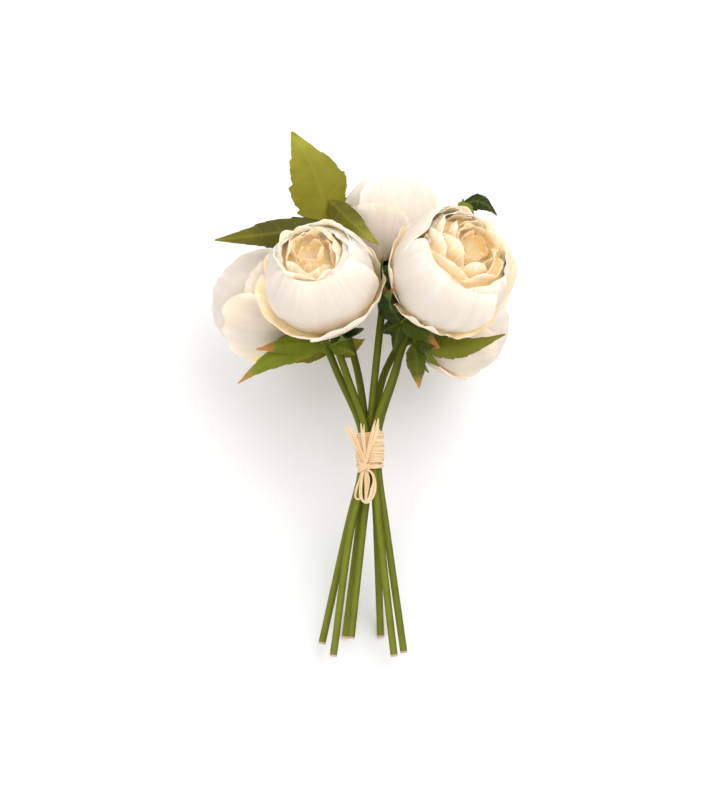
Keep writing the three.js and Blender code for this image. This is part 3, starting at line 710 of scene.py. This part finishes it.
def stem_plastic():
    """Polyethylene moulded on a wire: mid green with a soft sheen, a painted highlight along its front and
    painted shade on its sides, darker towards the blooms, and dull pink where it is cut."""
    material, tree, shader = finish("moulded polyethylene stem", Roughness=0.5, Specular_IOR_Level=0.1)
    coords = add(tree, "ShaderNodeTexCoord")
    along = named_value(tree, "along")
    height = add(tree, "ShaderNodeMapRange", {0: along, 1: 0.0, 2: STEM_FADE * MM, 3: 0.0, 4: 1.0})
    # A lit and a shaded copy of the stem's green: the pale one is its painted highlight, the darker one its
    # painted shade
    pale = set_stops(add(tree, "ShaderNodeValToRGB", {"Fac": height.outputs[0]}),
                     [(0.0, "#7c8228"), (0.5, "#767e24"), (0.8, "#5e6814"), (1.0, "#3c4608")])
    painted_shade_green = set_stops(add(tree, "ShaderNodeValToRGB", {"Fac": height.outputs[0]}),
                     [(0.0, "#525a08"), (0.5, "#4a5206"), (0.8, "#3e4606"), (1.0, "#2c3404")])
    across = named_value(tree, "across")
    # Painted highlight: a cosine round the stem that peaks at its front
    turn = add(tree, "ShaderNodeMath", {0: across, 1: 2 * math.pi, 2: -2 * math.pi * STEM_PAINTED_HIGHLIGHT_TURN},
               operation="MULTIPLY_ADD")
    front = add(tree, "ShaderNodeMath", {0: turn.outputs[0]}, operation="COSINE")
    cloud = noise(tree, coords.outputs["Object"], 120.0, 3.0)
    uneven = add(tree, "ShaderNodeMath", {0: cloud, 1: front.outputs[0]}, operation="ADD")
    shade = add(tree, "ShaderNodeMapRange", {0: uneven.outputs[0], 1: 0.5, 2: 1.45, 3: 0.0, 4: 1.0})
    toned = add(tree, "ShaderNodeMix", {0: shade.outputs[0], 6: painted_shade_green, 7: pale}, data_type="RGBA")
    cut = add(tree, "ShaderNodeMath", {0: along, 1: STEM_CUT * MM}, operation="LESS_THAN")
    whole = add(tree, "ShaderNodeMix", {0: cut.outputs[0], 6: toned.outputs[2], 7: colour("#d2b0a4")},
                data_type="RGBA")
    bump = add(tree, "ShaderNodeBump", {"Height": cloud, "Strength": 0.3, "Distance": 0.3 * MM})
    tree.links.new(whole.outputs[2], shader.inputs["Base Color"])
    tree.links.new(bump.outputs[0], shader.inputs["Normal"])
    return material


def raffia_straw():
    """Dried palm raffia in flat strips: matt, straw coloured, with lengthwise fibres from pale to tan."""
    material, tree, shader = finish("dried raffia", Roughness=0.8, Specular_IOR_Level=0.25)
    across = named_value(tree, "across")
    along = named_value(tree, "along")
    strip = add(tree, "ShaderNodeCombineXYZ", {0: across, 1: along})
    fibre = add(tree, "ShaderNodeMapping", {"Vector": strip.outputs[0], "Scale": (4.5, 40.0, 1.0)})
    streak = noise(tree, fibre.outputs[0], 1.0, 4.0)
    shown = set_stops(add(tree, "ShaderNodeValToRGB", {"Fac": streak}),
                      [(0.32, "#c08a4c"), (0.43, "#e4ba84"), (0.53, "#f6dab2"), (0.68, "#fdecd0")])
    bump = add(tree, "ShaderNodeBump", {"Height": streak, "Strength": 0.8, "Distance": 0.4 * MM})
    tree.links.new(shown, shader.inputs["Base Color"])
    tree.links.new(bump.outputs[0], shader.inputs["Normal"])
    return material


# Cloth by colours from root to rim, with a darker colour for its patches and its painted shade in creases,
# and leaves by face, light, dark and tip
WHITE_OUTSIDE = petal_cloth(
    "brushed polyester petal",
    [(0.0, "#dabd74"), (0.12, "#e6d2a6"), (0.32, "#e8dccb"), (0.8, "#e5dcd2"), (1.0, "#ece5dc")],
    deep_tone_and_crease_shade="#e3d3bd", crease_depth=0.8)
WHITE_INSIDE = petal_cloth(
    "brushed polyester petal inside",
    [(0.0, "#efc97e"), (0.4, "#f6d998"), (0.7, "#f8e4b8"), (0.85, "#f6ecd6"), (1.0, "#f0eae0")],
    deep_tone_and_crease_shade="#f6d696", crease_depth=0.8)
CREAM = petal_cloth(
    "brushed polyester heart petal",
    [(0.0, "#dfc48a"), (0.45, "#e6d0a0"), (0.7, "#ead8b2"), (0.9, "#f1e4cb"), (1.0, "#f9f1e4")],
    deep_tone_and_crease_shade="#debe80", crease_depth=0.5, see_through=0.85)
LEAF = leaf_cloth("coated polyester leaf", "#7f7c17", "#8f8d26", "#4f4d0b", "#a9a83a", 0.7, 1.2)
TIPPED_LEAF = leaf_cloth(
    "coated polyester leaf with scorched tip", "#6f7d16", "#8b9628", "#4a590e", "#c88a50", 0.92, 1.12)
# A darker green that is painted shade, for leaves that lie in shade among the stems
SHADED_LEAF = leaf_cloth(
    "coated polyester leaf in painted shade", "#4a5a12", "#767a1e", "#24330a", "#c88a50", 0.88, 1.12)
SEPAL = leaf_cloth("coated polyester sepal", "#55681a", "#7d8b2c", "#2f400c", "#c0814a", 1.05, 1.18)
# The front right and back right leaves wear the darker green of painted shade
LEAF_FINISH = dict(top=LEAF, front_left=TIPPED_LEAF, front_right=SHADED_LEAF, back_right=SHADED_LEAF,
                   back_left=LEAF)
STEM = stem_plastic()
STRAW = raffia_straw()


def path_tree(name, make_profile):
    """Geometry Nodes that sweep a profile along each path of a mesh of edges. A path's points hold the
    sweep's width and the way its profile faces, and the result keeps the distance along and across."""
    tree = bpy.data.node_groups.new(name, "GeometryNodeTree")
    for socket, kind in (("Geometry", "Geometry"), ("Sides", "Int"), ("Finish", "Material")):
        tree.interface.new_socket(socket, in_out="INPUT", socket_type="NodeSocket" + kind)
    tree.interface.new_socket("Geometry", in_out="OUTPUT", socket_type="NodeSocketGeometry")
    given = add(tree, "NodeGroupInput")
    width = add(tree, "GeometryNodeInputNamedAttribute", {"Name": "width"}, data_type="FLOAT")
    facing = add(tree, "GeometryNodeInputNamedAttribute", {"Name": "facing"}, data_type="FLOAT_VECTOR")
    path = add(tree, "GeometryNodeMeshToCurve", {"Mesh": given.outputs["Geometry"]})
    turned_path = add(tree, "GeometryNodeSetCurveNormal",
                      {"Curve": path.outputs[0], "Normal": facing.outputs["Attribute"]}, mode="FREE")
    place = add(tree, "GeometryNodeSplineParameter")
    marked = add(tree, "GeometryNodeStoreNamedAttribute",
                 {"Geometry": turned_path.outputs[0], "Name": "along", "Value": place.outputs["Length"]})
    profile = add(tree, "GeometryNodeStoreNamedAttribute",
                  {"Geometry": make_profile(tree, given.outputs["Sides"]), "Name": "across",
                   "Value": place.outputs["Factor"]})
    swept_path = add(tree, "GeometryNodeCurveToMesh",
                     {"Curve": marked.outputs[0], "Profile Curve": profile.outputs[0],
                      "Scale": width.outputs["Attribute"], "Fill Caps": True})
    whole = add(tree, "GeometryNodeRealizeInstances", {"Geometry": swept_path.outputs[0]})
    finished = add(tree, "GeometryNodeSetMaterial", {"Geometry": whole.outputs[0],
                                                     "Material": given.outputs["Finish"]})
    add(tree, "NodeGroupOutput", {"Geometry": finished.outputs[0]})
    return tree


def round_profile(tree, sides):
    return add(tree, "GeometryNodeCurvePrimitiveCircle", {"Resolution": sides, "Radius": 1.0}).outputs[0]


def strip_profile(tree, sides):
    """A flat strip one unit wide, a little arched across."""
    arch = add(tree, "GeometryNodeCurveQuadraticBezier",
               {"Resolution": sides, "Start": (0, -0.5, 0), "Middle": (0.24, 0.06, 0), "End": (0, 0.5, 0)})
    return arch.outputs[0]


TUBE = path_tree("moulded tube along a path", round_profile)
STRIP = path_tree("raffia strip along a path", strip_profile)


def swept(name, paths, tree, sides, material):
    """A piece swept along paths, each a dict of points, widths and the way that its points face."""
    matrix = np.array(BUNCH)
    points = np.concatenate([path["points"] for path in paths]) @ matrix[:3, :3].T + matrix[:3, 3]
    faces = np.concatenate([np.broadcast_to(path["facing"], path["points"].shape) for path in paths])
    faces = faces @ (matrix[:3, :3] / MM).T
    widths = np.concatenate([np.broadcast_to(path["width"], len(path["points"])) for path in paths]) * MM
    edges = []
    for path in paths:
        start = edges[-1][1] + 1 if edges else 0
        edges += [(start + k, start + k + 1) for k in range(len(path["points"]) - 1)]
    mesh = bpy.data.meshes.new(name)
    mesh.from_pydata(points.tolist(), edges, [])
    mesh.attributes.new("width", "FLOAT", "POINT").data.foreach_set("value", widths)
    mesh.attributes.new("facing", "FLOAT_VECTOR", "POINT").data.foreach_set("vector", faces.ravel())
    obj = new_object(name, mesh)
    modifier = obj.modifiers.new("sweep", "NODES")
    modifier.node_group = tree
    for item in tree.interface.items_tree:
        if item.in_out == "INPUT" and item.name in ("Sides", "Finish"):
            modifier[item.identifier] = sides if item.name == "Sides" else material
    return obj


def stem_line(bloom):
    """The points that a stem passes, from its cut end through the tie to the cup behind its bloom."""
    axis = unit(bloom["face"])
    foot = np.array(bloom["at"]) - axis * (CUP_SEAT * bloom["radius"] + CUP_H + 2 * CUP_GAP)
    x, z = bloom["waist"]
    tie = [(x, -TIE_HALF, z), (x, TIE_HALF, z)]
    return [bloom["end"], bloom["low"], *tie, bloom["high"], foot - NECK * axis, foot]


def make_stem(name):
    points = path_points(stem_line(BLOOMS[name]), STEM_POINTS)
    path = dict(points=points, width=STEM_R, facing=(0, 0, -1))
    obj = settled(swept("moulded_stem_" + name, [path], TUBE, STEM_SIDES, STEM))
    hand_over(obj, "stem_" + name)


def make_bloom(name, n):
    bloom = BLOOMS[name]
    sheets = []
    for k, ring in enumerate(PETAL_RINGS):
        sheets += [petal_sheet(petal, *PETAL_GRID) for petal in ring_petals(bloom, n, ring, k)]
    obj = sheet_object("petals_" + name, sheets, bloom_place(bloom), PETAL_T, WHITE_OUTSIDE, WHITE_INSIDE)
    hand_over(obj, "bloom_" + name)


def make_heart(name, n):
    """A bloom's heart. The bloom's shift moves the petals, and the cloth under them stays in the middle."""
    bloom = BLOOMS[name]
    across, up = bloom.get("shift", (0, 0))
    sheets = [petal_sheet(petal, *HEART_GRID) for petal in heart_petals(bloom, n)]
    for sheet in sheets:
        sheet["points"] += bloom["radius"] * np.array((across, up, 0))
    sheets.append(heart_core(bloom, n))
    obj = sheet_object("crumpled_heart_" + name, sheets, bloom_place(bloom), HEART_T, CREAM)
    hand_over(obj, "heart_" + name)


def make_calyx(name, n):
    """The sepals behind a bloom, and the cup that they spring from."""
    bloom = BLOOMS[name]
    sheets = [sepal_sheet(bloom, n, i, sepal) for i, sepal in enumerate(SEPALS + bloom.get("sepals", []))]
    obj = sheet_object("sepals_" + name, sheets, bloom_place(bloom), SEPAL_T, SEPAL)
    hand_over(obj, "calyx_" + name)
    low = -CUP_SEAT * bloom["radius"] - CUP_GAP - CUP_H
    points, faces = turned([(r, low + height) for r, height in CUP_PROFILE], CUP_SIDES)
    cup = dict(points=points, faces=faces, uv=np.zeros((len(points), 2)),
               marks=dict(vein=0.0, tone=0.5, scorch=0.0))
    cup_obj = settled(new_object("cup_" + name, mesh_of("cup_" + name, [cup], bloom_place(bloom))))
    cup_obj.data.materials.append(SEPAL)
    hand_over(cup_obj, "calyx_" + name)


def make_leaf(leaf, number):
    """A group of leaflets and the stalk that joins them to a stem."""
    stem = leaf["stem"]
    name = f"{stem}_{number}"
    sheets = [leaflet_sheet(leaf, leaflet, 10 * number + i) for i, leaflet in enumerate(leaf["leaflets"])]
    obj = sheet_object("leaflets_" + name, sheets, Matrix(), LEAF_T, LEAF_FINISH[stem])
    hand_over(obj, "leaf_" + stem)
    root = path_point(stem_line(BLOOMS[stem]), leaf["share"])
    rise = (root + np.array(leaf["fork"])) / 2 + np.array(leaf["bow"])
    points = path_points([root, rise, leaf["fork"]], PETIOLE_POINTS)
    widths = np.linspace(*PETIOLE_TAPER, PETIOLE_POINTS) * PETIOLE_R
    path = dict(points=points, width=widths, facing=(0, 0, -1))
    petiole = settled(swept("petiole_" + name, [path], TUBE, PETIOLE_SIDES, STEM))
    hand_over(petiole, "leaf_" + stem)


def wrap_path(turns, high, low, radius, width, seed):
    """A strip wound round the tie from high to low, with a slightly uneven pitch and tension."""
    steps = int(turns * WRAP_STEPS)
    share = np.linspace(0, 1, steps + 1)
    angle = 2 * math.pi * (turns * share + draw(seed, 1))
    y = high + (low - high) * share + 0.22 * np.sin(0.9 * angle + seed) + 0.12 * np.sin(2.3 * angle)
    r = radius + 0.18 * np.sin(0.37 * angle + 2 * seed) + 0.1 * np.sin(3 * angle)
    outward = np.stack([np.cos(angle), np.zeros_like(angle), np.sin(angle)], axis=1)
    points = outward * r[:, None] + np.stack([0 * y, y, 0 * y], axis=1)
    return dict(points=points, width=width * (1 + 0.12 * np.sin(1.7 * angle)), facing=outward)


def make_raffia(name, paths, node):
    """A piece of raffia strips along paths."""
    obj = swept(name, paths, STRIP, STRAW_SIDES, STRAW)
    thicken(obj, STRAW_T)
    hand_over(settled(obj), node)


def make_wrap():
    """The raffia wound round the stems, and the lining that closes the gaps between its turns."""
    paths = [wrap_path(turns, high, low, WRAP_R + out, width, seed)
             for turns, high, low, out, width, seed in WOUND]
    make_raffia("wound_raffia", paths, "raffia_wrap")
    lining = dict(points=np.array([(0, y, 0) for y in (-LINING_HALF, 0, LINING_HALF)], dtype=float),
                  width=WRAP_R - 0.1, facing=(0, 0, 1))
    hand_over(settled(swept("raffia_lining", [lining], TUBE, LINING_SIDES, STRAW)), "raffia_wrap")


def bow_path(strip):
    points = path_points([point[:3] for point in strip], STRIP_STEPS * (len(strip) - 1) + 1)
    widths = np.interp(np.linspace(0, 1, len(points)), np.linspace(0, 1, len(strip)), [p[3] for p in strip])
    return dict(points=points, width=widths, facing=(0, 0, 1))


def knot_path(k, tilt):
    """Turn k of the knot, an arch over the strips of the bow."""
    angle = np.linspace(-0.2, math.pi + 0.2, 25)
    across = KNOT_REACH * np.cos(angle)
    y = KNOT[1] + tilt * across - KNOT_STEP * (k - 1)
    z = KNOT[2] - KNOT_SINK + (KNOT_RISE + 0.2 * k) * np.sin(angle)
    outward = np.stack([np.cos(angle), 0 * angle, np.sin(angle)], axis=1)
    return dict(points=np.stack([KNOT[0] + across, y, z], axis=1), width=KNOT_WIDTH, facing=outward)


def make_bow():
    make_raffia("raffia_bow_strips", [bow_path(strip) for strip in STRIPS], "raffia_bow")
    make_raffia("raffia_knot", [knot_path(k, tilt) for k, tilt in enumerate(KNOT_TILTS)], "raffia_bow")


for number, bloom_name in enumerate(BLOOMS):
    make_bloom(bloom_name, number)
    make_heart(bloom_name, number)
    make_calyx(bloom_name, number)
    make_stem(bloom_name)
for number, grown_leaf in enumerate(LEAVES):
    make_leaf(grown_leaf, number)
make_wrap()
make_bow()


def make_floor():
    bpy.ops.mesh.primitive_plane_add(size=FLOOR_SIZE)
    floor = bpy.context.object
    floor.name = "floor"
    material, _, _ = finish("white paper", Base_Color=colour("#fefefe"), Roughness=0.9)
    floor.data.materials.append(material)


def make_light(name, at, size, power):
    """A square white lamp that points at the bunch."""
    data = bpy.data.lights.new(name, "AREA")
    data.size = size
    data.energy = power
    light = new_object(name, data)
    light.location = at
    light.rotation_mode = "QUATERNION"
    light.rotation_quaternion = (-Vector(at)).to_track_quat("-Z", "Y")


def make_world():
    world = bpy.data.worlds.new("studio")
    world.use_nodes = True
    background = world.node_tree.nodes["Background"]
    background.inputs["Color"].default_value = colour("#ffffff")
    background.inputs["Strength"].default_value = SKY
    bpy.context.scene.world = world


def make_camera():
    """A camera that looks straight at the bunch's front, square to its stems."""
    data = bpy.data.cameras.new("camera")
    data.sensor_fit = "VERTICAL"
    data.sensor_height = SENSOR
    data.lens = SENSOR * VIEW_DISTANCE / VIEW_HEIGHT
    data.clip_end = CLIP_END
    camera = new_object("camera", data)
    turn = Matrix.Rotation(LIE_TILT, 4, "X")
    target = BUNCH @ Vector(VIEW_CENTRE)
    camera.matrix_world = Matrix.Translation(target + turn @ Vector((0, 0, VIEW_DISTANCE * MM))) @ turn
    bpy.context.scene.camera = camera


make_floor()
for lamp in LIGHTS:
    make_light(**lamp)
make_world()
make_camera()
bpy.context.scene.view_settings.view_transform = "Standard"
